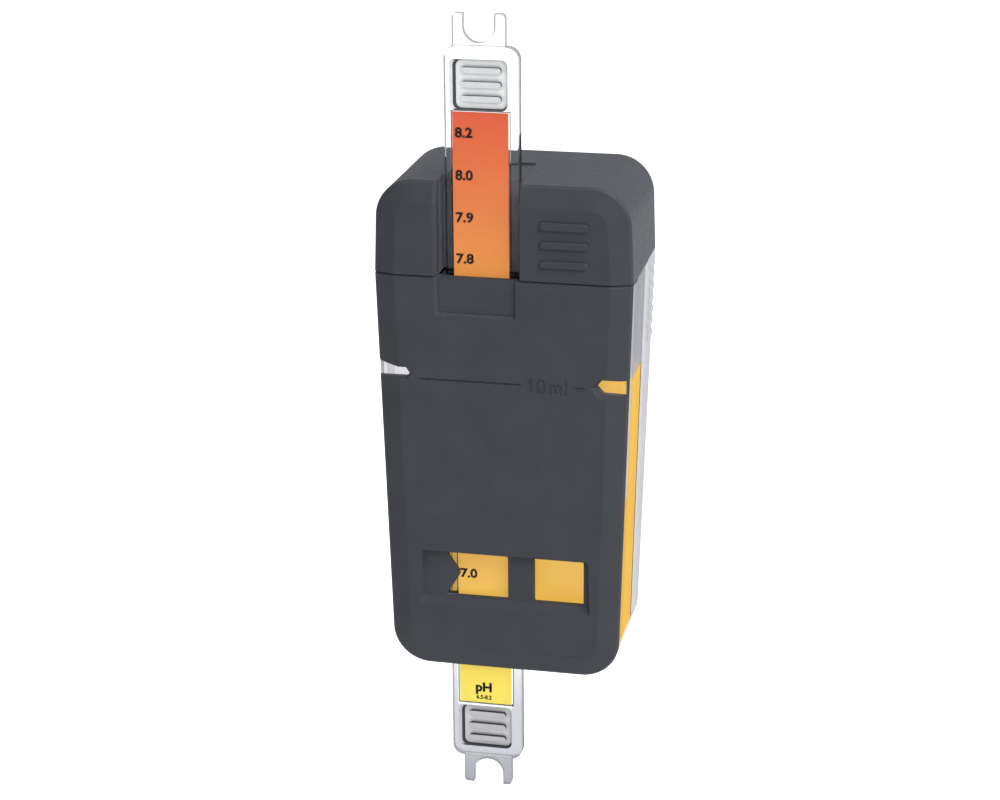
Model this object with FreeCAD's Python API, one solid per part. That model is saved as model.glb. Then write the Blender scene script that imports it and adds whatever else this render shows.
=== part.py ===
import FreeCAD, Part
import os
import math

V = FreeCAD.Vector
os.makedirs("parts", exist_ok=True)

# ---------------------------------------------------------------- driving dimensions (mm)
# The modelling datum is the centre of the front face at the cap parting line:
# x to the right, y from the front face to the back, z up.  Every piece is moved by ORIGIN
# when it is written, so that the frame origin is the centre of the hand-held housing.
ORIGIN = V(0.0, -14.2, 30.0)

HALF_TOP = 24.8          # half width of the housing at the parting line
HALF_BOTTOM = 22.5       # half width at the base
BASE_Z = -80.6           # underside of the housing
CAP_TOP_Z = 18.25        # top of the cap
CAP_HALF_TOP = 24.1      # half width at the top of the cap
BACK_TOP = 29.6          # back face behind the front face, at the parting line
BACK_BOTTOM = 26.5       # the same at the base
CORNER_R = 7.5           # outline corner radius
PARTING = 0.12           # half of the dark parting gap
BEVEL_IN = 4.1           # width of the sloped border round the front
BEVEL_Y = 1.2            # depth of the sloped border
EDGE_IN = 0.45           # small broken edge outside the border
EDGE_Y = 1.65
COVER_BACK = 2.0         # rear plane of the dark cover plate
MASK_FACE = 3.0          # rear plane of the light mask plate
BLOCK_BACK = 18.8        # rear plane of the clear cell block
REAR_R = 2.2             # rounding of the rear edges
RIM = 1.4                # clear rim round the mask pocket
WALL = 1.3               # clear side wall of the cells

GROOVE_L, GROOVE_R, GROOVE_D = -12.45, 3.55, 6.3     # slide groove in the cap
GROOVE_LEAD = 0.7                                    # chamfer on the front corners of the groove
SLIDE_L, SLIDE_R = -11.15, 3.1                       # slide body sides
SLIDE_Y0, SLIDE_Y1 = 2.2, 4.6                        # slide body faces
SLIDE_Z0, SLIDE_Z1 = -101.0, 43.4                    # slide body ends
FORK_LEN = 6.0                                       # fork length past the body
SLIDE_CLEAR = 0.2                                    # running clearance round the slide
CHANNEL_BACK = 4.8                                   # front plane of the channel rear wall
CHANNEL_WALL = 0.95

CELL_FLOOR = -79.0
RIGHT_X0, RIGHT_Y0, RIGHT_Y1 = 4.6, 6.6, 16.4        # narrow deep sample cell
LEFT_X1, LEFT_Y0, LEFT_Y1 = 3.4, 7.6, 14.35          # wide shallow reference cell
MARK_Z = -19.6                                       # 10 ml fill mark

WIN_Z0, WIN_Z1 = -65.4, -56.3                        # window openings
SCALE_X0, SCALE_X1 = -11.7, 0.75                     # scale window
SAMPLE_X0, SAMPLE_X1 = 5.95, 15.75                   # sample window

STRIP_L, STRIP_R = -9.7, 0.9                         # colour scale strip
STRIP_Z0, STRIP_Z1 = -89.3, 31.1
STRIP_Y0, STRIP_Y1 = 3.37, 3.57
POCKET_Y, BACKING_Y = 3.34, 3.60                     # floor of the strip pocket, front of the backing
POCKET_MARGIN = 0.3                                  # strip pocket beyond the strip

PLUG_GAP = 0.3                                       # seal to cell wall
PLUG_TIP = -5.0                                      # underside of the plug seals


# ---------------------------------------------------------------- helpers
def half_width(z):
    """Half width of the tapered housing at height z."""
    return HALF_TOP + (HALF_TOP - HALF_BOTTOM) * z / -BASE_Z


def back_y(z):
    """Depth of the sloping back face at height z."""
    return BACK_TOP + (BACK_TOP - BACK_BOTTOM) * z / -BASE_Z


def behind(shift):
    """Everything behind the back face moved by shift, as a tool to cut with."""
    corners = [(back_y(-95.0) + shift, -95.0), (back_y(30.0) + shift, 30.0), (60.0, 30.0), (60.0, -95.0)]
    wire = Part.makePolygon([V(-40.0, y, z) for y, z in corners + corners[:1]])
    return Part.Face(wire).extrude(V(80.0, 0, 0))


def ring(points, radii, y):
    """Closed wire in the plane y, through (x, z) corners rounded by tangent arcs."""
    count = len(points)
    spans = []
    for i in range(count):
        here = V(points[i][0], y, points[i][1])
        before = V(points[i - 1][0], y, points[i - 1][1])
        after = V(points[(i + 1) % count][0], y, points[(i + 1) % count][1])
        to_before = (before - here).normalize()
        to_after = (after - here).normalize()
        radius = radii[i]
        if radius <= 0.0:
            spans.append((here, None, here))
            continue
        half = to_before.getAngle(to_after) / 2.0
        reach = radius / math.tan(half)
        bisector = (to_before + to_after).normalize()
        centre = here + bisector * (radius / math.sin(half))
        spans.append((here + to_before * reach, centre - bisector * radius, here + to_after * reach))
    edges = []
    for i in range(count):
        start, middle, end = spans[i]
        if middle is not None:
            edges.append(Part.Arc(start, middle, end).toShape())
        following = spans[(i + 1) % count][0]
        if (following - end).Length > 1e-6:
            edges.append(Part.makeLine(end, following))
    return Part.Wire(edges)


def slab(points, radii, y0, y1):
    """Prism along y over a rounded (x, z) outline."""
    return Part.Face(ring(points, radii, y0)).extrude(V(0, y1 - y0, 0))


def box(x0, x1, y0, y1, z0, z1):
    return Part.makeBox(x1 - x0, y1 - y0, z1 - z0, V(x0, y0, z0))


def panel(x0, x1, z0, z1, r, y0, y1):
    """Rounded rectangular prism along y."""
    return slab([(x0, z0), (x1, z0), (x1, z1), (x0, z1)], [r] * 4, y0, y1)


def body_outline(inset, z_top):
    """Corners and radii of the tapered housing outline below the parting line."""
    z_low = BASE_Z + inset
    top = half_width(z_top) - inset
    low = half_width(z_low) - inset
    radius = max(CORNER_R - inset, 0.8)
    return [(-top, z_top), (top, z_top), (low, z_low), (-low, z_low)], [0, 0, radius, radius]


def cap_outline(inset, z_low):
    """Corners and radii of the cap outline above the parting line."""
    z_top = CAP_TOP_Z - inset
    radius = max(CORNER_R - inset, 0.8)
    corners = [(-HALF_TOP + inset, z_low), (HALF_TOP - inset, z_low),
               (CAP_HALF_TOP - inset, z_top), (-CAP_HALF_TOP + inset, z_top)]
    return corners, [0, 0, radius, radius]


def fronted(outline, z_edge, y_back):
    """Solid with a flat front, a sloped border and a broken edge, back at y_back."""
    flat = ring(*outline(BEVEL_IN, z_edge), 0.0)
    border = ring(*outline(EDGE_IN, z_edge), BEVEL_Y)
    edge = ring(*outline(0.0, z_edge), EDGE_Y)
    slope = Part.makeLoft([flat, border], True, True)
    broken = Part.makeLoft([border, edge], True, True)
    rest = slab(*outline(0.0, z_edge), EDGE_Y, y_back)
    return slope.fuse([broken, rest]).removeSplitter()


def edges_at_y(shape, y):
    """Edges that lie wholly in the plane y."""
    return [e for e in shape.Edges if all(abs(p.y - y) < 1e-6 for p in e.discretize(5))]


def edges_on_back(shape, z_low):
    """Edges above z_low that lie wholly in the sloping back face."""
    found = [e for e in shape.Edges if all(abs(p.y - back_y(p.z)) < 1e-5 for p in e.discretize(5))]
    return [e for e in found if e.CenterOfMass.z > z_low]


def upright_edges(shape):
    """Edges close to vertical."""
    found = []
    for e in shape.Edges:
        run = e.Vertexes[-1].Point - e.Vertexes[0].Point
        if abs(run.z) > 3.0 and abs(run.y) < 1e-6 and abs(run.x) < 0.1 * abs(run.z):
            found.append(e)
    return found


def write(shape, node):
    placed = shape.copy()
    placed.translate(ORIGIN)
    placed.exportStep("parts/" + node + ".step")


# ---------------------------------------------------------------- fill mark shapes
# Pointed notches in the cover edges show the water level in each cell.
RIGHT_NOTCH = [(18.15, -20.1), (19.1, -18.75), (23.75, -18.7), (23.75, -21.6), (19.35, -21.5)]
RIGHT_NOTCH_TOP = [(16.5, -20.3), (18.7, -18.1), (23.75, -18.05), (23.75, -23.0), (17.9, -22.9)]
LEFT_NOTCH = [(-18.2, -19.6), (-18.95, -18.5), (-20.3, -18.5), (-26.0, -17.0), (-26.0, -20.5), (-18.75, -20.45)]
LEFT_NOTCH_TOP = [(-17.4, -19.6), (-18.5, -18.2), (-20.3, -18.2), (-26.0, -16.7), (-26.0, -20.9), (-18.5, -20.85)]
NOTCH_Y = 0.75


def notch_cut(top, through):
    """Pointed notch with a sloped rim."""
    count = len(through)
    lead = Part.makeLoft([ring(top, [0] * count, -0.35), ring(through, [0] * count, NOTCH_Y)], True, True)
    return lead.fuse(slab(through, [0] * count, NOTCH_Y - 0.01, MASK_FACE + 0.5))


# ---------------------------------------------------------------- engraved scale marks
LINE_Z = -20.45          # centre of the engraved fill line
LINE_W = 0.5             # width of the engraved strokes
LINE_DEPTH = 0.3         # depth of the fill line
FIGURE_DEPTH = 0.16      # depth of the figure


def stroke(x0, z0, x1, z1, depth=FIGURE_DEPTH):
    """Round-ended engraved stroke between two points on the front face."""
    run = V(x1 - x0, 0, z1 - z0)
    side = V(run.z, 0, -run.x).normalize() * (LINE_W / 2.0)
    a, b = V(x0, 0, z0), V(x1, 0, z1)
    corners = [a + side, b + side, b - side, a - side]
    bar = Part.Face(Part.makePolygon(corners + corners[:1])).extrude(V(0, depth, 0))
    ends = [Part.makeCylinder(LINE_W / 2.0, depth, p, V(0, 1, 0)) for p in (a, b)]
    return bar.fuse(ends)


def chain(points):
    """Strokes along a run of (x, z) points."""
    return [stroke(*points[i], *points[i + 1]) for i in range(len(points) - 1)]


def engraved_marks():
    """Fill line on both sides of the volume figure."""
    low, high = -21.7, -19.3
    cuts = [stroke(-16.0, LINE_Z, 3.5, LINE_Z, LINE_DEPTH), stroke(14.2, LINE_Z, 15.7, LINE_Z, LINE_DEPTH)]
    cuts += chain([(5.0, high - 0.5), (5.6, high), (5.6, low)])
    cuts += chain([(7.2, high), (7.8, high), (8.2, high - 0.6), (8.2, low + 0.6), (7.8, low),
                   (7.2, low), (6.8, low + 0.6), (6.8, high - 0.6), (7.2, high)])
    cuts += chain([(9.3, low), (9.3, high - 0.8)])
    cuts += chain([(9.3, high - 1.0), (9.8, high - 0.7), (10.3, high - 1.1), (10.3, low)])
    cuts += chain([(10.3, high - 1.1), (10.8, high - 0.7), (11.3, high - 1.1), (11.3, low)])
    cuts += chain([(12.3, high + 0.1), (12.3, low)])
    return cuts


def lead_profile(z, y):
    """Closed wire at height z that follows the front surface of the cover, moved back by y."""
    half = half_width(z)
    right = [(half, EDGE_Y + y), (half - EDGE_IN, BEVEL_Y + y), (half - BEVEL_IN, y)]
    left = [(-x, depth) for x, depth in reversed(right)]
    points = [(-40.0, -5.0), (40.0, -5.0), (40.0, EDGE_Y + y)] + right + left + [(-40.0, EDGE_Y + y)]
    return Part.makePolygon([V(x, depth, z) for x, depth in points + points[:1]])


# ================================================================ housing
TOP_LEAD = 0.35          # chamfer under the parting line
# ---- front_cover: dark face plate with both windows, the pointer and the fill notches
cover = fronted(body_outline, -PARTING, COVER_BACK)
lead_low, lead_high = lead_profile(-PARTING - TOP_LEAD, -0.02), lead_profile(-PARTING + 0.02, TOP_LEAD)
cover = cover.cut(Part.makeLoft([lead_low, lead_high], True, True))
STEP_L, STEP_R, STEP_Z, STEP_Y, STEP_LEAD = -12.4, 2.55, -7.1, 0.6, 0.55
cover = cover.cut(panel(STEP_L, STEP_R, STEP_Z, 3.0, 0.4, -1.0, STEP_Y))
lead_out = [(STEP_L - STEP_LEAD, STEP_Z - STEP_LEAD), (STEP_R + 0.15, STEP_Z - STEP_LEAD),
            (STEP_R + 0.15, 3.0), (STEP_L - STEP_LEAD, 3.0)]
lead_in = [(STEP_L, STEP_Z), (STEP_R, STEP_Z), (STEP_R, 3.0), (STEP_L, 3.0)]
cover = cover.cut(Part.makeLoft([ring(lead_out, [0.5] * 4, -0.02), ring(lead_in, [0.4] * 4, 0.42)], True, True))
recess_low = ring([(-16.7, -67.4), (17.2, -67.4), (16.75, -55.8), (-16.2, -55.8)], [0.6] * 4, -0.05)
recess_floor = ring([(-16.0, -65.6), (16.5, -65.6), (16.5, -56.1), (-15.95, -56.1)], [0.4] * 4, 0.95)
cover = cover.cut(Part.makeLoft([recess_low, recess_floor], True, True))
POINTER = [(SCALE_X0, WIN_Z0), (SCALE_X1, WIN_Z0), (SCALE_X1, WIN_Z1), (SCALE_X0, WIN_Z1),
           (-9.0, -60.2), (-9.0, -61.0)]
cover = cover.cut(slab(POINTER, [0.15, 0.3, 0.3, 0.15, 0.2, 0.2], 0.5, 3.0))
cover = cover.cut(panel(SAMPLE_X0, SAMPLE_X1, WIN_Z0, WIN_Z1, 0.3, 0.5, 3.0))
cover = cover.cut(notch_cut(RIGHT_NOTCH_TOP, RIGHT_NOTCH))
cover = cover.cut(notch_cut(LEFT_NOTCH_TOP, LEFT_NOTCH))
cover = cover.cut(engraved_marks())
write(cover, "front_cover")

# ---- light_mask: black plate behind the cover with the slide channel moulded on its back
channel_l, channel_r = SLIDE_L - SLIDE_CLEAR, SLIDE_R + SLIDE_CLEAR
outer_l, outer_r = channel_l - CHANNEL_WALL, channel_r + CHANNEL_WALL
mask_top = -PARTING - 0.15
mask_base = BASE_Z + 0.15
mask = slab(*body_outline(RIM + 0.05, mask_top), COVER_BACK, MASK_FACE)
trough = box(outer_l, outer_r, COVER_BACK, CHANNEL_BACK + CHANNEL_WALL, mask_base, mask_top)
mask = mask.fuse(trough).removeSplitter()
mask = mask.cut(box(channel_l, channel_r, COVER_BACK - 1, CHANNEL_BACK, BASE_Z - 1, 1))
mask = mask.cut(panel(SCALE_X0 - 0.8, SCALE_X1 + 0.6, WIN_Z0 - 0.8, WIN_Z1 + 0.6, 0.4, 3.0, 8.0))
mask = mask.cut(panel(SAMPLE_X0 - 0.8, SAMPLE_X1 + 0.6, WIN_Z0 - 0.6, WIN_Z1 + 0.6, 0.4, 1.0, 8.0))
for notch in (RIGHT_NOTCH, LEFT_NOTCH):
    side = 1.0 if notch[0][0] > 0 else -1.0
    reach = [(x - side * 0.8, z) for x, z in notch[:1]]
    reach += [(x + (side * 2.0 if abs(x) > 22 else 0.0), z + (0.4 if z > MARK_Z else -0.4)) for x, z in notch[1:]]
    mask = mask.cut(slab(reach, [0] * len(reach), 1.0, MASK_FACE + 0.5))
PAD_X0, PAD_X1, PAD_H = -7.0, -2.0, 5.0
PADS = {"upper_friction_pad": -12.0, "lower_friction_pad": -42.0}
for z in PADS.values():
    mask = mask.cut(box(PAD_X0, PAD_X1, CHANNEL_BACK - 0.5, 8.0, z - PAD_H / 2, z + PAD_H / 2))
write(mask, "light_mask")

# ---- friction pads: soft blocks in the channel rear wall that hold the slide where it is set
for node, z in PADS.items():
    pad = panel(PAD_X0, PAD_X1, z - PAD_H / 2, z + PAD_H / 2, 0.0, CHANNEL_BACK - 0.1, CHANNEL_BACK + CHANNEL_WALL)
    write(pad, node)

# ---- cell_block: clear block with one wide shallow cell and one narrow deep cell
block = slab(*body_outline(0.0, -PARTING), COVER_BACK, BLOCK_BACK)
block = block.cut(slab(*body_outline(RIM, 1.0), COVER_BACK - 1, MASK_FACE))
block = block.cut(box(outer_l - 0.05, outer_r + 0.05, 0.0, CHANNEL_BACK + CHANNEL_WALL, BASE_Z - 1, 1))


def cell_space(x_in, side, y0, y1, inset, z_floor, z_top):
    """Inside space of a cell between its inner wall x_in and the tapered outer wall."""
    top = side * (half_width(z_top) - WALL - inset)
    low = side * (half_width(z_floor) - WALL - inset)
    inner = x_in + side * inset
    corners = [(inner, z_floor), (low, z_floor), (top, z_top), (inner, z_top)]
    round_low = 5.5 if z_floor < -70 else 0.0
    space = slab(corners, [round_low * 0.25, round_low, 0, 0], y0 + inset, y1 - inset)
    return space.makeFillet(1.4 - inset, upright_edges(space))


block = block.cut(cell_space(RIGHT_X0, 1.0, RIGHT_Y0, RIGHT_Y1, 0.0, CELL_FLOOR, 1.0))
block = block.cut(cell_space(LEFT_X1, -1.0, LEFT_Y0, LEFT_Y1, 0.0, CELL_FLOOR, 1.0))
lip_outer = slab(*body_outline(1.65, -2.5), BLOCK_BACK, BLOCK_BACK + 1.2)
lip_inner = slab(*body_outline(2.65, -3.5), BLOCK_BACK - 1, BLOCK_BACK + 2)
block = block.fuse(lip_outer.cut(lip_inner)).removeSplitter()
write(block, "cell_block")

# ---- rear_diffuser: frosted shell that closes the back and lights the cells
rear = slab(*body_outline(0.0, -PARTING), BLOCK_BACK, 40.0).cut(behind(0.0))
rear = rear.makeFillet(REAR_R, edges_on_back(rear, -90.0))
rear = rear.cut(slab(*body_outline(1.6, -2.4), BLOCK_BACK - 1, 40.0).cut(behind(-1.6)))
RIB_PITCH, RIB_OUT = 2.4, 0.35
for i in range(7):
    z = -2.2 - RIB_PITCH * i
    for side in (-1, 1):
        face = side * half_width(z)
        rib = box(min(face - side * 0.8, face + side * RIB_OUT), max(face - side * 0.8, face + side * RIB_OUT),
                  21.6, 26.2, z - 0.65, z + 0.65)
        rib = rib.makeFillet(0.3, [e for e in rib.Edges if abs(e.CenterOfMass.x - face - side * RIB_OUT) < 1e-6])
        rear = rear.fuse(rib)
write(rear.removeSplitter(), "rear_diffuser")

# ================================================================ cap
# ---- cap_shell: dark cap with the slide groove and three grip ribs
shell = fronted(cap_outline, PARTING, 40.0).cut(behind(0.0))
shell = shell.makeFillet(REAR_R, edges_on_back(shell, PARTING + 0.1))
hollow = slab(*cap_outline(1.6, -1.0), COVER_BACK + 0.1, 40.0).cut(behind(-1.6))
hollow = hollow.cut(box(GROOVE_L - 1.4, GROOVE_R + 1.4, -1, GROOVE_D + 1.4, -2, 20))
shell = shell.cut(hollow)
shell = shell.cut(box(GROOVE_L, GROOVE_R, -1, GROOVE_D, -1, 21))
groove_edges = [e for e in shell.Edges if all(abs(v.Point.x - GROOVE_L) < 1e-6 for v in e.Vertexes)]
groove_edges = [e for e in groove_edges if e.CenterOfMass.y < BEVEL_Y and e.Length > 2.0]
shell = shell.makeChamfer(GROOVE_LEAD, groove_edges)
shell = shell.cut(box(-11.6, 3.2, GROOVE_D - 0.1, 18.0, CAP_TOP_Z - 0.4, 21))
for z0, z1 in ((10.1, 11.6), (6.6, 7.9), (2.9, 4.15)):
    rib = panel(7.4, 16.5, z0, z1, 0.5, -0.45, 0.2)
    rib = rib.makeFillet(0.2, edges_at_y(rib, -0.45))
    shell = shell.fuse(rib)
write(shell.removeSplitter(), "cap_shell")

# ---- cap_liner: plate that closes the underside of the cap, with a boss for each seal
PLUG_WALL = 1.5
liner_top = PARTING + 1.55
liner = slab(*cap_outline(1.65, PARTING + 0.15), COVER_BACK + 0.15, 40.0).cut(behind(-1.65))
liner = liner.common(box(-30, 30, 0, 30, PARTING + 0.15, liner_top))
liner = liner.cut(box(GROOVE_L - 1.45, GROOVE_R + 1.45, -1, GROOVE_D + 1.45, -2, 20))


def plug(x_in, side, y0, y1, inset, z0, z1):
    """Prism that follows the mouth of a cell with the given all-round gap."""
    far = side * (half_width(z0) - WALL - inset)
    near = x_in + side * inset
    prism = box(min(far, near), max(far, near), y0 + inset, y1 - inset, z0, z1)
    return prism.makeFillet(1.0, upright_edges(prism))


CELLS = {"right_plug_seal": (RIGHT_X0, 1.0, RIGHT_Y0, RIGHT_Y1), "left_plug_seal": (LEFT_X1, -1.0, LEFT_Y0, LEFT_Y1)}
for node, cell in CELLS.items():
    boss = plug(*cell, PLUG_GAP + PLUG_WALL, PLUG_TIP + 0.8, PARTING + 0.2)
    liner = liner.fuse(boss)
    seal = plug(*cell, PLUG_GAP, PLUG_TIP, -0.5).cut(boss)
    write(seal, node)
write(liner.removeSplitter(), "cap_liner")

# ================================================================ slide
# ---- slide_carrier: clear bar with a fork and a ribbed grip panel at each end
RECESS_Y, RIB_Y = 0.9, 0.15                          # floor and rib tops of the grip panels, from the front
carrier = panel(SLIDE_L, SLIDE_R, SLIDE_Z0, SLIDE_Z1, 2.3, SLIDE_Y0, SLIDE_Y1)
carrier = carrier.makeFillet(0.3, edges_at_y(carrier, SLIDE_Y0) + edges_at_y(carrier, SLIDE_Y1))
FORKS = ((SLIDE_Z1, 1.0, -9.45, 0.5, -4.5), (SLIDE_Z0, -1.0, -8.85, 0.85, -3.9))
NOTCH_R = 3.0
for end, way, prong_l, prong_r, middle in FORKS:
    tip = end + way * FORK_LEN
    root = end - way * 1.0
    corners = [(prong_l, root), (prong_r, root), (prong_r, tip), (prong_l, tip)]
    fork = slab(corners, [0, 0, 0.8, 0.8], SLIDE_Y0 + 0.4, SLIDE_Y1 - 0.4)
    seat = end + way * (0.6 + NOTCH_R)
    gap = Part.makeCylinder(NOTCH_R, 4, V(middle, 1, seat), V(0, 1, 0))
    gap = gap.fuse(box(middle - NOTCH_R, middle + NOTCH_R, 1, 5, min(seat, tip + way), max(seat, tip + way)))
    carrier = carrier.fuse(fork.cut(gap))
pocket_l, pocket_r = STRIP_L - POCKET_MARGIN, STRIP_R + POCKET_MARGIN
pocket_z0, pocket_z1 = STRIP_Z0 - POCKET_MARGIN, STRIP_Z1 + 0.15
carrier = carrier.cut(box(pocket_l, pocket_r, POCKET_Y, 6.0, pocket_z0, pocket_z1))


def frame_ring(x0, x1, z0, z1, out_l, out, y):
    """Rounded rectangle widened by out_l on its left and by out on its other sides."""
    corners = [(x0 - out_l, z0 - out), (x1 + out, z0 - out), (x1 + out, z1 + out), (x0 - out_l, z1 + out)]
    return ring(corners, [1.2] * 4, y)


for x0, x1, z0, z1 in ((-8.9, 0.75, 31.85, 40.85), (-8.75, 0.75, -98.5, -90.0)):
    steps = ((1.2, 0.25, -0.05), (0.5, 0.18, 0.3), (0.0, 0.0, RECESS_Y))
    rings = [frame_ring(x0, x1, z0, z1, out_l, out, SLIDE_Y0 + y) for out_l, out, y in steps]
    grip = Part.makeLoft(rings[:2], True, True).fuse(Part.makeLoft(rings[1:], True, True))
    middle = (z0 + z1) / 2.0
    for i in (-1, 0, 1):
        rib_z = middle + 2.65 * i
        grip = grip.cut(panel(x0 + 1.1, x1 - 1.05, rib_z - 0.55, rib_z + 0.55, 0.5, SLIDE_Y0 + RIB_Y, 6.0))
    carrier = carrier.cut(grip)
write(carrier.removeSplitter(), "slide_carrier")

# ---- colour_strip: printed colour scale film
write(box(STRIP_L, STRIP_R, STRIP_Y0, STRIP_Y1, STRIP_Z0, STRIP_Z1), "colour_strip")

# ---- strip_backing: clear plate that closes the strip pocket from behind
backing = box(pocket_l + 0.05, pocket_r - 0.05, BACKING_Y, SLIDE_Y1 - 0.1, pocket_z0 + 0.05, pocket_z1 - 0.05)
write(backing, "strip_backing")
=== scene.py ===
import math

import bmesh
import bpy
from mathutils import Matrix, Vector


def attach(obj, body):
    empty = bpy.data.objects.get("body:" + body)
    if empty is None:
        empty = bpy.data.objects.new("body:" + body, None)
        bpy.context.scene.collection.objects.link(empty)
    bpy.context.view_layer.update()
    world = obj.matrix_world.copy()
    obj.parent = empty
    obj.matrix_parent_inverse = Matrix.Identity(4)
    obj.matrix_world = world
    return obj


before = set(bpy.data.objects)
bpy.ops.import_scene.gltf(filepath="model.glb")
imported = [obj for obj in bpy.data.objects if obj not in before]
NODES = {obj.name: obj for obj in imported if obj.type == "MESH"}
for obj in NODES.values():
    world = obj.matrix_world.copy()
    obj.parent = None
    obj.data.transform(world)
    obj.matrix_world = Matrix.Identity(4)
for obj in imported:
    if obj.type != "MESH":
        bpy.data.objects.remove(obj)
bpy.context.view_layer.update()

MM = 0.001
Y_FACE = -14.2      # mm, front face of the housing in the row frame
Z_SPLIT = 30.0      # mm, parting line between cap and housing
scene = bpy.context.scene


def at(x, y, z):
    """Point in metres from x, depth behind the front face and height over the parting line, in mm."""
    return Vector((x * MM, (y + Y_FACE) * MM, (z + Z_SPLIT) * MM))


def srgb(r, g, b):
    """Linear colour of 0-255 display values."""
    out = []
    for v in (r, g, b):
        v /= 255.0
        out.append(v / 12.92 if v <= 0.04045 else ((v + 0.055) / 1.055) ** 2.4)
    return (*out, 1.0)


def scaled(colour, factor):
    """Linear colour times a number."""
    return tuple(min(1.0, c * factor) for c in colour[:3]) + (1.0,)


# ------------------------------------------------------------------ node helpers
CREVICE_REACH = 0.0045          # m, how far the painted light in crevices looks on opaque plastic
PANEL_REACH = 0.0009            # m, the same for the painted shade on the ribbed grip panels
PATCH_EDGE = 0.00004            # m, soft edge of a frosted area across and along the piece
PATCH_EDGE_DEEP = 0.00002       # m, its soft edge in depth
SHADOW_TINT = (0.9, 0.9, 0.9, 1.0)                  # what clear plastic lets through to its shadow
FILM_X, FILM_Z = (-9.9, 1.1), (-89.7, -89.5)        # mm, area of the slide in front of the film


class Graph:
    """Short names for building one material's node tree."""

    def __init__(self, name):
        self.material = bpy.data.materials.new(name)
        self.material.use_nodes = True
        self.tree = self.material.node_tree
        self.tree.nodes.clear()
        self.out = self.add("ShaderNodeOutputMaterial")

    def add(self, kind, **values):
        node = self.tree.nodes.new(kind)
        for key, value in values.items():
            setattr(node, key, value)
        return node

    def link(self, a, b):
        self.tree.links.new(a, b)

    def coords(self):
        return self.add("ShaderNodeTexCoord").outputs["Object"]

    def noise(self, scale, detail=2.0, rough=0.5):
        node = self.add("ShaderNodeTexNoise")
        node.inputs["Scale"].default_value = scale
        node.inputs["Detail"].default_value = detail
        node.inputs["Roughness"].default_value = rough
        self.link(self.coords(), node.inputs["Vector"])
        return node.outputs["Fac"]

    def ramp(self, fac, stops):
        node = self.add("ShaderNodeValToRGB")
        elements = node.color_ramp.elements
        while len(elements) < len(stops):
            elements.new(0.5)
        for element, (position, colour) in zip(elements, stops):
            element.position = position
            element.color = colour
        self.link(fac, node.inputs["Fac"])
        return node.outputs["Color"]

    def span(self, value, low, high, to_low, to_high):
        node = self.add("ShaderNodeMapRange")
        for key, number in (("From Min", low), ("From Max", high), ("To Min", to_low), ("To Max", to_high)):
            node.inputs[key].default_value = number
        self.link(value, node.inputs["Value"])
        return node.outputs["Result"]

    def bump(self, height, distance, strength=1.0):
        node = self.add("ShaderNodeBump")
        node.inputs["Distance"].default_value = distance
        node.inputs["Strength"].default_value = strength
        self.link(height, node.inputs["Height"])
        return node.outputs["Normal"]

    def principled(self, **values):
        node = self.add("ShaderNodeBsdfPrincipled")
        for key, value in values.items():
            node.inputs[key.replace("_", " ")].default_value = value
        return node

    def axis(self, which):
        node = self.add("ShaderNodeSeparateXYZ")
        self.link(self.coords(), node.inputs["Vector"])
        return node.outputs[which]

    def math(self, operation, a, b=None):
        node = self.add("ShaderNodeMath", operation=operation)
        for socket, value in zip(node.inputs, (a, b)):
            if isinstance(value, (int, float)):
                socket.default_value = value
            elif value is not None:
                self.link(value, socket)
        return node.outputs["Value"]

    def band(self, value, low, high, soft):
        """1 between low and high, falling to 0 over soft on both sides."""
        return self.math("MULTIPLY", self.span(value, low - soft, low, 0.0, 1.0),
                         self.span(value, high, high + soft, 1.0, 0.0))

    def mix(self, share, a, b):
        node = self.add("ShaderNodeMixShader")
        if isinstance(share, (int, float)):
            node.inputs["Fac"].default_value = share
        else:
            self.link(share, node.inputs["Fac"])
        self.link(a, node.inputs[1])
        self.link(b, node.inputs[2])
        return node.outputs["Shader"]

    def blend(self, share, a, b):
        """Colour a to colour b by a share that varies over the surface."""
        node = self.add("ShaderNodeMix", data_type="RGBA")
        self.link(share, node.inputs["Factor"])
        for socket, value in ((node.inputs[6], a), (node.inputs[7], b)):
            if isinstance(value, tuple):
                socket.default_value = value
            else:
                self.link(value, socket)
        return node.outputs[2]

    def times(self, colour, share):
        """Colour scaled by one number, or multiplied by another colour."""
        node = self.add("ShaderNodeMix", data_type="RGBA", blend_type="MULTIPLY")
        node.inputs["Factor"].default_value = 1.0
        self.link(colour, node.inputs[6])
        if isinstance(share, (int, float)):
            node.inputs[7].default_value = (share, share, share, 1.0)
        else:
            self.link(share, node.inputs[7])
        return node.outputs[2]

    def facing(self, which):
        node = self.add("ShaderNodeSeparateXYZ")
        self.link(self.add("ShaderNodeTexCoord").outputs["Normal"], node.inputs["Vector"])
        return node.outputs[which]

    def finish(self, shader):
        self.link(shader, self.out.inputs["Surface"])
        return self.material


def moulded(name, colour, rough, grain=5200.0, depth=0.000035, level=0.5, mottle=0.06, crevice_painted_light=0.0):
    """Moulded opaque plastic: fine spark-eroded grain, faint mottling, uneven sheen, painted light in its
    crevices.
    """
    g = Graph(name)
    shade = g.principled(Specular_IOR_Level=level)
    dark, light = scaled(colour, 1.0 - mottle), scaled(colour, 1.0 + mottle)
    tint = g.ramp(g.noise(140.0, 3.0), [(0.3, dark), (0.7, light)])
    # painted light: where the surface is occluded, its colour goes toward the colour times this factor
    if crevice_painted_light:
        near = g.add("ShaderNodeAmbientOcclusion", samples=8)
        near.inputs["Distance"].default_value = CREVICE_REACH
        tint = g.blend(g.span(near.outputs["AO"], 0.15, 0.52, 1.0, 0.0), tint, scaled(colour, crevice_painted_light))
    g.link(tint, shade.inputs["Base Color"])
    g.link(g.span(g.noise(900.0, 3.0), 0.3, 0.7, rough - 0.035, rough + 0.035), shade.inputs["Roughness"])
    g.link(g.bump(g.noise(grain, 2.0, 0.6), depth), shade.inputs["Normal"])
    return g.finish(shade.outputs["BSDF"])


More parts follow.
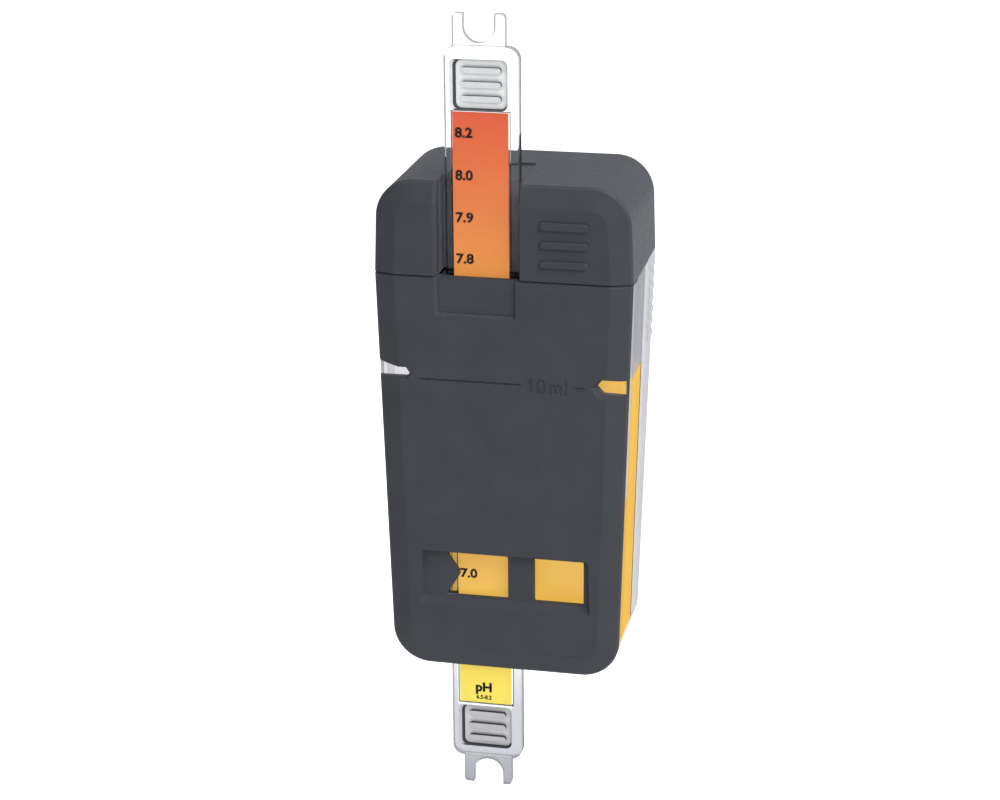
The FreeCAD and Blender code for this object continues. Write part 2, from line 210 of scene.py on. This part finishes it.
def clear(name, tint, mirror=0.012, rough=0.015, ior=1.49, painted_shade_stops=(), patches=(), rim=None):
    """Clear moulded plastic that lets lamps through, with faint flow marks.

    Its (height, colour) stops give a painted shade that changes along the piece, except in front of the film.
    patches lists areas of painted light and shade, some also frosted, placed for the view in the photo, as
    (x range, y range, z range, face colour, colour of painted shade on their walls, share of scattered light,
    own light as a painted glow, cover, painted shade in their corners).  An x range that starts above 20 mm
    stands for both sides of the piece.
    rim is (tint, cover) of a painted grey shade over its edges and side walls, which stay see-through.
    """
    g = Graph(name)
    wave = g.bump(g.noise(45.0, 1.0), 0.00012, 0.25)
    haze = g.span(g.noise(60.0, 2.0), 0.3, 0.7, rough * 0.5, rough * 1.5)
    bend = g.add("ShaderNodeBsdfRefraction")
    bend.inputs["Color"].default_value = tint
    bend.inputs["IOR"].default_value = ior
    # painted shade along the height of the piece, kept clear in front of the film
    if painted_shade_stops:
        low, high = painted_shade_stops[0][0], painted_shade_stops[-1][0]
        along = g.span(g.axis("Z"), at(0, 0, low).z, at(0, 0, high).z, 0.0, 1.0)
        painted_shade = g.ramp(along, [((z - low) / (high - low), colour) for z, colour in painted_shade_stops])
        film = g.math("MULTIPLY", g.band(g.axis("X"), at(FILM_X[0], 0, 0).x, at(FILM_X[1], 0, 0).x, 0.0001),
                      g.span(g.axis("Z"), at(0, 0, FILM_Z[0]).z, at(0, 0, FILM_Z[1]).z, 0.0, 1.0))
        g.link(g.blend(film, painted_shade, tint), bend.inputs["Color"])
    gloss = g.add("ShaderNodeBsdfAnisotropic")
    gloss.inputs["Color"].default_value = (1.0, 1.0, 1.0, 1.0)
    for shader in (bend, gloss):
        g.link(wave, shader.inputs["Normal"])
        g.link(haze, shader.inputs["Roughness"])
    body = g.mix(mirror, bend.outputs["BSDF"], gloss.outputs["BSDF"])
    # painted shade: faces that turn away from the front get a see-through grey
    if rim:
        painted_edge_shade = g.add("ShaderNodeBsdfTransparent")
        painted_edge_tint = g.ramp(g.noise(300.0, 2.0), [(0.3, scaled(rim[0], 0.9)), (0.7, scaled(rim[0], 1.1))])
        g.link(painted_edge_tint, painted_edge_shade.inputs["Color"])
        edge = g.span(g.math("ABSOLUTE", g.facing("Y")), 0.25, 0.9, rim[1], 0.0)
        body = g.mix(edge, body, painted_edge_shade.outputs["BSDF"])
    # each patch is painted light and shade laid over the clear plastic
    for (x0, x1), (y0, y1), (z0, z1), face, side, share, glow, cover, painted_corner_shade in patches:
        low, high = at(x0, y0, z0), at(x1, y1, z1)
        across = g.math("ABSOLUTE", g.axis("X")) if x0 > 20.0 else g.axis("X")
        inside = g.math("MULTIPLY", g.band(across, low.x, high.x, PATCH_EDGE),
                        g.band(g.axis("Z"), low.z, high.z, PATCH_EDGE))
        inside = g.math("MULTIPLY", inside, g.band(g.axis("Y"), low.y, high.y, PATCH_EDGE_DEEP))
        # painted shade: faces turned sideways take the patch's side colour
        wall = g.span(g.math("ABSOLUTE", g.facing("Y")), 0.68, 0.86, 1.0, 0.0)
        # painted light: the patch glows with its own colour and takes lamp light only in part
        painted_light_patch = g.principled(Roughness=0.45, Specular_IOR_Level=0.1, Emission_Strength=glow)
        darker, lighter = (srgb(*(v + step for v in face)) for step in (-4, 4))
        shown = g.blend(wall, g.ramp(g.noise(420.0, 3.0), [(0.3, darker), (0.7, lighter)]), srgb(*side))
        # painted shade where the surface is occluded, in the corners of the ribbed grip panels
        if painted_corner_shade < 1.0:
            near = g.add("ShaderNodeAmbientOcclusion", samples=8, only_local=True)
            near.inputs["Distance"].default_value = PANEL_REACH
            shown = g.blend(g.span(near.outputs["AO"], 0.45, 0.95, 1.0, 0.0), shown, g.times(shown, painted_corner_shade))
        g.link(g.times(shown, share), painted_light_patch.inputs["Base Color"])
        g.link(shown, painted_light_patch.inputs["Emission Color"])
        g.link(g.bump(g.noise(3600.0, 2.0, 0.6), 0.00003), painted_light_patch.inputs["Normal"])
        body = g.mix(g.math("MULTIPLY", inside, cover), body, painted_light_patch.outputs["BSDF"])
    through = g.add("ShaderNodeBsdfTransparent")
    through.inputs["Color"].default_value = SHADOW_TINT
    path = g.add("ShaderNodeLightPath")
    return g.finish(g.mix(path.outputs["Is Shadow Ray"], body, through.outputs["BSDF"]))


def give(node, material):
    """Puts one material on every slot of a CAD node."""
    mesh = NODES[node].data
    mesh.materials.clear()
    mesh.materials.append(material)


# ------------------------------------------------------------------ materials
# painted light: occluded crevices of the shell are brightened, up to 4.2 times its colour
SHELL = moulded("charcoal_shell", (0.0250, 0.0266, 0.0316, 1.0), 0.58, level=0.12, crevice_painted_light=4.2)
MASK = moulded("black_mask_plastic", (0.012, 0.012, 0.013, 1.0), 0.55)
LINER = moulded("cap_liner_plastic", (0.035, 0.036, 0.039, 1.0), 0.5)
SEAL = moulded("silicone_seal", (0.30, 0.31, 0.33, 1.0), 0.6, grain=2600.0, level=0.35)
PAD = moulded("felt_pad", (0.03, 0.03, 0.03, 1.0), 0.9, grain=3800.0, depth=0.00012, level=0.2)
# The cell block's patches are painted light and shade: glowing grey and white areas on its sides and in the
# left notch, the inner notch lighter where it lies in shade, and an amber glow on the right notch standing
# for the water seen through it.
CELL = clear("clear_cell_plastic", (0.93, 0.945, 0.96, 1.0), mirror=0.012, rough=0.03, patches=(
    ((-26.0, -21.8), (1.8, 3.1), (-23.5, -16.0), (207, 206, 211), (186, 186, 191), 0.3, 0.85, 1.0, 1.0),
    ((-21.7, -17.2), (1.8, 3.1), (-23.5, -16.0), (219, 218, 223), (196, 196, 201), 0.3, 0.95, 1.0, 1.0),
    ((17.0, 23.9), (1.8, 3.1), (-22.6, -17.9), (238, 190, 96), (226, 178, 84), 0.2, 0.84, 1.0, 1.0),
    ((23.6, 25.5), (1.9, 3.9), (-73.1, -0.2), (160, 159, 158), (160, 159, 158), 0.3, 0.60, 0.85, 1.0),
    ((22.3, 25.5), (15.5, 18.9), (-73.1, -0.2), (184, 183, 185), (184, 183, 185), 0.3, 0.65, 0.85, 1.0),
    ((20.2, 25.5), (2.1, 18.9), (-81.0, -73.2), (190, 186, 178), (190, 186, 178), 0.3, 0.65, 0.72, 1.0),
    ((23.95, 25.5), (3.9, 15.5), (-19.3, -0.2), (129, 131, 138), (129, 131, 138), 0.3, 0.55, 0.80, 1.0)))
# The slide's tint along its height is painted shade, darker toward its lower end.
CARRIER = clear("clear_slide_plastic", (0.975, 0.978, 0.98, 1.0), mirror=0.006, rough=0.08, ior=1.42, painted_shade_stops=(
    (-107.0, (0.49, 0.49, 0.51, 1.0)), (-101.5, (0.53, 0.53, 0.55, 1.0)), (-100.0, (0.60, 0.60, 0.62, 1.0)),
    (-90.0, (0.62, 0.62, 0.635, 1.0)), (-80.0, (0.72, 0.72, 0.73, 1.0)), (-70.0, (0.92, 0.923, 0.93, 1.0))),
    # Grip panels: frosted, with a painted glow, painted shade on their rib walls and in their corners, and
    # two depth layers in different painted tones.
    patches=(
    ((-10.4, 1.2), (2.23, 2.6), (31.4, 41.3), (184, 186, 187), (60, 60, 62), 0.55, 0.42, 1.0, 0.6),
    ((-10.4, 1.2), (2.62, 3.2), (31.4, 41.3), (207, 209, 210), (60, 60, 62), 0.55, 0.48, 1.0, 0.4),
    ((-10.2, 1.2), (2.23, 2.6), (-98.9, -89.7), (164, 163, 166), (52, 52, 56), 0.55, 0.40, 1.0, 0.5),
    ((-10.2, 1.2), (2.62, 3.2), (-98.9, -89.7), (182, 181, 184), (52, 52, 56), 0.55, 0.45, 1.0, 0.4)),
    # painted grey shade on the slide's edges and side walls
    rim=((0.5, 0.5, 0.51), 0.75))
BACKING = clear("clear_backing_plastic", (0.985, 0.988, 0.99, 1.0), mirror=0.006, rough=0.02, ior=1.38)


def frosted():
    """White translucent diffuser with a painted glow of its own, standing in for light through it, and a matt
    eroded face.
    """
    g = Graph("frosted_diffuser")
    # painted light: the diffuser glows with its own colour
    face = g.principled(Roughness=0.5, Specular_IOR_Level=0.12, Emission_Strength=0.42)
    pale = g.ramp(g.noise(90.0, 3.0), [(0.3, srgb(198, 198, 202)), (0.7, srgb(206, 206, 209))])
    g.link(g.times(pale, 0.52), face.inputs["Base Color"])
    g.link(pale, face.inputs["Emission Color"])
    g.link(g.bump(g.noise(4200.0, 2.0, 0.6), 0.00003), face.inputs["Normal"])
    glow = g.add("ShaderNodeBsdfTranslucent")
    glow.inputs["Color"].default_value = srgb(168, 168, 172)
    return g.finish(g.mix(0.45, face.outputs["BSDF"], glow.outputs["BSDF"]))


STRIP_LOW, STRIP_HIGH = -89.3, 31.1
STRIP_STOPS = [
    (-89.3, srgb(240, 222, 95)), (-82.0, srgb(247, 221, 94)), (-72.0, srgb(243, 202, 88)),
    (-61.0, srgb(235, 183, 85)), (-45.0, srgb(233, 174, 81)), (-30.0, srgb(230, 164, 76)),
    (-15.0, srgb(226, 154, 72)), (0.5, srgb(224, 143, 69)), (9.3, srgb(221, 129, 69)),
    (17.3, srgb(218, 116, 66)), (25.8, srgb(216, 101, 62)), (31.1, srgb(216, 91, 61))]


def printed_scale():
    """Colour film: a continuous tint along its length, mostly a painted glow of its own that stands in for
    light through it.
    """
    g = Graph("printed_colour_scale")
    low, high = at(0, 0, STRIP_LOW).z, at(0, 0, STRIP_HIGH).z
    along = g.span(g.axis("Z"), low, high, 0.0, 1.0)
    stops = [((z - STRIP_LOW) / (STRIP_HIGH - STRIP_LOW), colour) for z, colour in STRIP_STOPS]
    tint = g.ramp(along, stops)
    # painted light: the film glows with its printed colour
    shade = g.principled(Roughness=0.5, Specular_IOR_Level=0.0, Emission_Strength=0.71)
    grain = g.ramp(g.noise(2600.0, 2.0), [(0.35, (0.97, 0.97, 0.97, 1.0)), (0.65, (1.0, 1.0, 1.0, 1.0))])
    printed = g.times(tint, grain)
    g.link(g.times(printed, 0.3), shade.inputs["Base Color"])
    g.link(printed, shade.inputs["Emission Color"])
    return g.finish(shade.outputs["BSDF"])


def ink():
    g = Graph("black_ink")
    shade = g.principled(Specular_IOR_Level=0.0)
    g.link(g.ramp(g.noise(1800.0), [(0.3, (0.004, 0.002, 0.002, 1.0)), (0.7, (0.010, 0.006, 0.005, 1.0))]),
           shade.inputs["Base Color"])
    g.link(g.span(g.noise(2400.0), 0.3, 0.7, 0.4, 0.55), shade.inputs["Roughness"])
    return g.finish(shade.outputs["BSDF"])


def dyed_water(name, colour, share, glow, painted_refraction_area=None):
    """Water with a painted glow that stands in for light coming evenly through the white diffuser behind it,
    so that most of its light is its own.

    The given (x, z) range of the front face is painted with the amber tint of the scale next to it: a painted
    refraction of the scale.
    """
    g = Graph(name)
    # painted light: the water glows with its tint
    shade = g.principled(Roughness=0.12, Specular_IOR_Level=0.15, Emission_Strength=glow)
    tint = g.ramp(g.noise(55.0, 2.0), [(0.3, scaled(colour, 0.96)), (0.7, colour)])
    if painted_refraction_area:
        (x0, x1), (z0, z1) = painted_refraction_area
        low, high = at(x0, 0, z0), at(x1, 0, z1)
        front = g.span(g.facing("Y"), -0.9, -0.6, 1.0, 0.0)
        area = g.math("MULTIPLY", g.band(g.axis("X"), low.x, high.x, 0.0002),
                      g.band(g.axis("Z"), low.z, high.z, 0.0002))
        # painted refraction: the amber of the scale laid on the front face inside that range
        tint = g.blend(g.math("MULTIPLY", front, area), tint, srgb(239, 188, 96))
    g.link(g.times(tint, share), shade.inputs["Base Color"])
    g.link(tint, shade.inputs["Emission Color"])
    return g.finish(shade.outputs["BSDF"])


STRIP = printed_scale()
INK = ink()
# Both waters glow with painted light.
AMBER = dyed_water("amber_sample_water", srgb(240, 187, 78), 0.10, 0.96)
# the reference water's front face carries a painted refraction of the scale beside it
BLANK = dyed_water("reference_water", srgb(214, 216, 220), 0.3, 0.75, ((-13.0, 2.0), (-68.0, -54.0)))

for node, material in {
    "front_cover": SHELL, "cap_shell": SHELL, "light_mask": MASK, "cap_liner": LINER,
    "left_plug_seal": SEAL, "right_plug_seal": SEAL, "upper_friction_pad": PAD, "lower_friction_pad": PAD,
    "cell_block": CELL, "rear_diffuser": frosted(), "slide_carrier": CARRIER, "strip_backing": BACKING,
    "colour_strip": STRIP,
}.items():
    give(node, material)


# ------------------------------------------------------------------ water in the cells
HALF_TOP, HALF_BOTTOM, BASE_Z, CELL_WALL, CELL_FLOOR = 24.8, 22.5, -80.6, 1.3, -79.0
BITE = 0.08         # mm that the water reaches into the cell wall, so that no air film shows
FLOOR_R = 5.5       # mm, rounding of the outer floor corner of a cell
CORNER_R = 1.4      # mm, rounding of its upright corners
FILL_Z = -19.6      # mm, 10 ml fill mark
MENISCUS = ((0.985, -0.05), (0.955, -0.18), (0.90, -0.38), (0.80, -0.56), (0.55, -0.66), (0.2, -0.68))


def half_width(z):
    return HALF_TOP + (HALF_TOP - HALF_BOTTOM) * z / -BASE_Z


def section(inner, outer, y0, y1, r, count=6):
    """Rounded rectangle of one water level, as (x, y) corners in order."""
    x0, x1 = min(inner, outer), max(inner, outer)
    points = []
    corners = ((x1 - r, y1 - r, 0), (x0 + r, y1 - r, 90), (x0 + r, y0 + r, 180), (x1 - r, y0 + r, 270))
    for cx, cy, start in corners:
        for i in range(count + 1):
            a = math.radians(start + 90.0 * i / count)
            points.append((cx + r * math.cos(a), cy + r * math.sin(a)))
    return points


def water(name, inner, side, y0, y1, level, material):
    """Body of water in a tapered cell, with a rounded outer floor corner and a meniscus."""
    heights = [CELL_FLOOR - BITE + FLOOR_R * (1.0 - math.cos(math.radians(a))) for a in range(0, 91, 10)]
    steps = 16
    top = heights[-1]
    heights += [top + (level - top) * i / steps for i in range(1, steps + 1)]
    rings = []
    for z in heights:
        depth = max(0.0, CELL_FLOOR - BITE + FLOOR_R - z)
        pull = FLOOR_R - math.sqrt(max(0.0, FLOOR_R ** 2 - depth ** 2))
        outer = side * (half_width(z) - CELL_WALL + BITE - pull)
        level_ring = section(inner - side * BITE, outer, y0 - BITE, y1 + BITE, CORNER_R)
        rings.append([(x, y, z) for x, y in level_ring])
    cx, cy = (inner + side * (half_width(level) - CELL_WALL)) / 2.0, (y0 + y1) / 2.0
    rim = rings[-1]
    for share, drop in MENISCUS:
        rings.append([(cx + (x - cx) * share, cy + (y - cy) * share, level + drop) for x, y, z in rim])
    bm = bmesh.new()
    loops = [[bm.verts.new(at(*p)) for p in ring] for ring in rings]
    n = len(rim)
    for low, high in zip(loops, loops[1:]):
        for i in range(n):
            bm.faces.new((low[i], low[(i + 1) % n], high[(i + 1) % n], high[i]))
    bm.faces.new(list(reversed(loops[0])))
    bm.faces.new(loops[-1])
    bmesh.ops.recalc_face_normals(bm, faces=bm.faces)
    for face in bm.faces:
        face.smooth = len(face.verts) == 4
    return add_piece(name, bm, material, "housing")


def add_piece(name, bm, material, body):
    mesh = bpy.data.meshes.new(name)
    bm.to_mesh(mesh)
    bm.free()
    mesh.materials.append(material)
    piece = bpy.data.objects.new(name, mesh)
    scene.collection.objects.link(piece)
    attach(piece, body)
    return piece


water("sample_water", 4.6, 1.0, 6.6, 16.4, FILL_Z, AMBER)
water("reference_water", 3.4, -1.0, 7.6, 14.35, FILL_Z, BLANK)


# ------------------------------------------------------------------ printing on the scale
INK_Y = 3.37        # mm, front of the printed film
FIGURE_X = -9.25    # mm, left edge of the figures
FIGURES = [("8.2", 26.3), ("8.0", 18.2), ("7.9", 10.1), ("7.8", 2.1), ("7.7", -5.95), ("7.6", -14.0),
           ("7.5", -22.05), ("7.4", -30.1), ("7.3", -38.15), ("7.2", -46.2), ("7.1", -54.2), ("7.0", -62.2),
           ("6.8", -70.3), ("6.5", -78.4)]


def lettering(name, text, x, z, size, bold, width=None):
    """Printed text as a thin raised mesh, left edge at x and baseline at z, facing the front."""
    curve = bpy.data.curves.new(name, "FONT")
    curve.body = text
    curve.size = size * MM
    curve.offset = bold * MM
    curve.resolution_u = 4
    curve.extrude = 0.006 * MM
    holder = bpy.data.objects.new(name + "_curve", curve)
    scene.collection.objects.link(holder)
    bpy.context.view_layer.update()
    mesh = bpy.data.meshes.new_from_object(holder.evaluated_get(bpy.context.evaluated_depsgraph_get()))
    bpy.data.objects.remove(holder)
    low = min(v.co.x for v in mesh.vertices)
    high = max(v.co.x for v in mesh.vertices)
    stretch = width * MM / (high - low) if width else 1.0
    for v in mesh.vertices:
        start = at(x, INK_Y - 0.008, z)
        v.co = (start.x + (v.co.x - low) * stretch, start.y - v.co.z, start.z + v.co.y)
    mesh.materials.clear()
    mesh.materials.append(INK)
    piece = bpy.data.objects.new(name, mesh)
    scene.collection.objects.link(piece)
    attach(piece, "slide")
    return piece


for text, z in FIGURES:
    lettering("scale_figure_" + text.replace(".", "_"), text, FIGURE_X, z, 2.6, 0.10, 3.4)
lettering("scale_symbol", "pH", -6.45, -86.8, 2.7, 0.12, 3.3)
lettering("scale_range", "6.5-8.2", -6.3, -88.5, 1.2, 0.05, 3.1)


# ------------------------------------------------------------------ stage, light and camera
def stage_material():
    g = Graph("pale_floor")
    shade = g.principled(Roughness=0.9, Specular_IOR_Level=0.0, Emission_Strength=0.40)
    tint = g.ramp(g.noise(3.0), [(0.3, (0.985, 0.985, 0.985, 1.0)), (0.7, (1.0, 1.0, 1.0, 1.0))])
    g.link(g.times(tint, 0.7), shade.inputs["Base Color"])
    g.link(tint, shade.inputs["Emission Color"])
    return g.finish(shade.outputs["BSDF"])


def floor():
    bm = bmesh.new()
    reach, z = 7.0, -0.20
    cells = 14
    verts = [[bm.verts.new((reach * (2.0 * i / cells - 1.0), reach * (2.0 * j / cells - 1.0), z))
              for i in range(cells + 1)] for j in range(cells + 1)]
    for j in range(cells):
        for i in range(cells):
            bm.faces.new((verts[j][i], verts[j][i + 1], verts[j + 1][i + 1], verts[j + 1][i]))
    mesh = bpy.data.meshes.new("floor")
    bm.to_mesh(mesh)
    bm.free()
    mesh.materials.append(stage_material())
    plane = bpy.data.objects.new("floor", mesh)
    scene.collection.objects.link(plane)


def sky():
    """Soft surround: white behind the object, and on the camera's side brighter to the right and overhead."""
    world = bpy.data.worlds.new("soft_surround")
    world.use_nodes = True
    tree = world.node_tree
    tree.nodes.clear()
    out = tree.nodes.new("ShaderNodeOutputWorld")
    back = tree.nodes.new("ShaderNodeBackground")
    where = tree.nodes.new("ShaderNodeTexCoord")
    split = tree.nodes.new("ShaderNodeSeparateXYZ")
    tree.links.new(where.outputs["Generated"], split.inputs["Vector"])

    def weigh(a, b, factor):
        node = tree.nodes.new("ShaderNodeMath")
        node.operation = "MULTIPLY_ADD"
        tree.links.new(a, node.inputs[0])
        node.inputs[1].default_value = factor
        if isinstance(b, float):
            node.inputs[2].default_value = b
        else:
            tree.links.new(b, node.inputs[2])
        return node.outputs["Value"]

    def spread(value, low, high, to_low, to_high):
        node = tree.nodes.new("ShaderNodeMapRange")
        for key, number in (("From Min", low), ("From Max", high), ("To Min", to_low), ("To Max", to_high)):
            node.inputs[key].default_value = number
        tree.links.new(value, node.inputs["Value"])
        return node.outputs["Result"]

    near_side = weigh(split.outputs["Z"], weigh(split.outputs["X"], 0.44, 0.30), 0.55)
    blend = tree.nodes.new("ShaderNodeMix")
    blend.data_type = "FLOAT"
    tree.links.new(spread(split.outputs["Y"], -0.35, 0.25, 0.0, 1.0), blend.inputs[0])
    tree.links.new(spread(near_side, 0.18, 1.2, 0.18, 1.2), blend.inputs[2])
    blend.inputs[3].default_value = 1.0
    tree.links.new(blend.outputs[0], back.inputs["Strength"])
    back.inputs["Color"].default_value = (0.985, 0.99, 1.0, 1.0)
    tree.links.new(back.outputs["Background"], out.inputs["Surface"])
    scene.world = world


def lamp(name, spot, aim, size, power, colour):
    light = bpy.data.lights.new(name, "AREA")
    light.color = colour
    light.shape = "RECTANGLE"
    light.size, light.size_y = size
    light.energy = power
    holder = bpy.data.objects.new(name, light)
    scene.collection.objects.link(holder)
    holder.location = spot
    holder.rotation_mode = "QUATERNION"
    holder.rotation_quaternion = (Vector(aim) - Vector(spot)).to_track_quat("-Z", "Y")


floor()
sky()
lamp("soft_key", (0.65, -0.55, 0.95), (0.0, 0.0, 0.0), (1.0, 0.8), 25.0, (1.0, 0.99, 0.98))
lamp("soft_overhead", (0.6, 0.0, 1.1), (0.0, 0.0, 0.0), (1.0, 1.0), 14.0, (0.82, 0.92, 1.0))

camera = bpy.data.cameras.new("camera")
camera.lens = 87.9
camera.sensor_width = 36.0
camera.clip_start, camera.clip_end = 0.02, 30.0
eye = bpy.data.objects.new("camera", camera)
scene.collection.objects.link(eye)
EYE, AIM, ROLL = Vector((0.09436, -0.44153, 0.16029)), Vector((-0.00278, -0.00333, 0.0024)), -0.44
eye.location = EYE
eye.rotation_mode = "XYZ"
eye.rotation_euler = (AIM - EYE).to_track_quat("-Z", "Y").to_euler()
eye.rotation_euler.rotate_axis("Z", math.radians(ROLL))
scene.camera = eye
scene.view_settings.view_transform = "Standard"
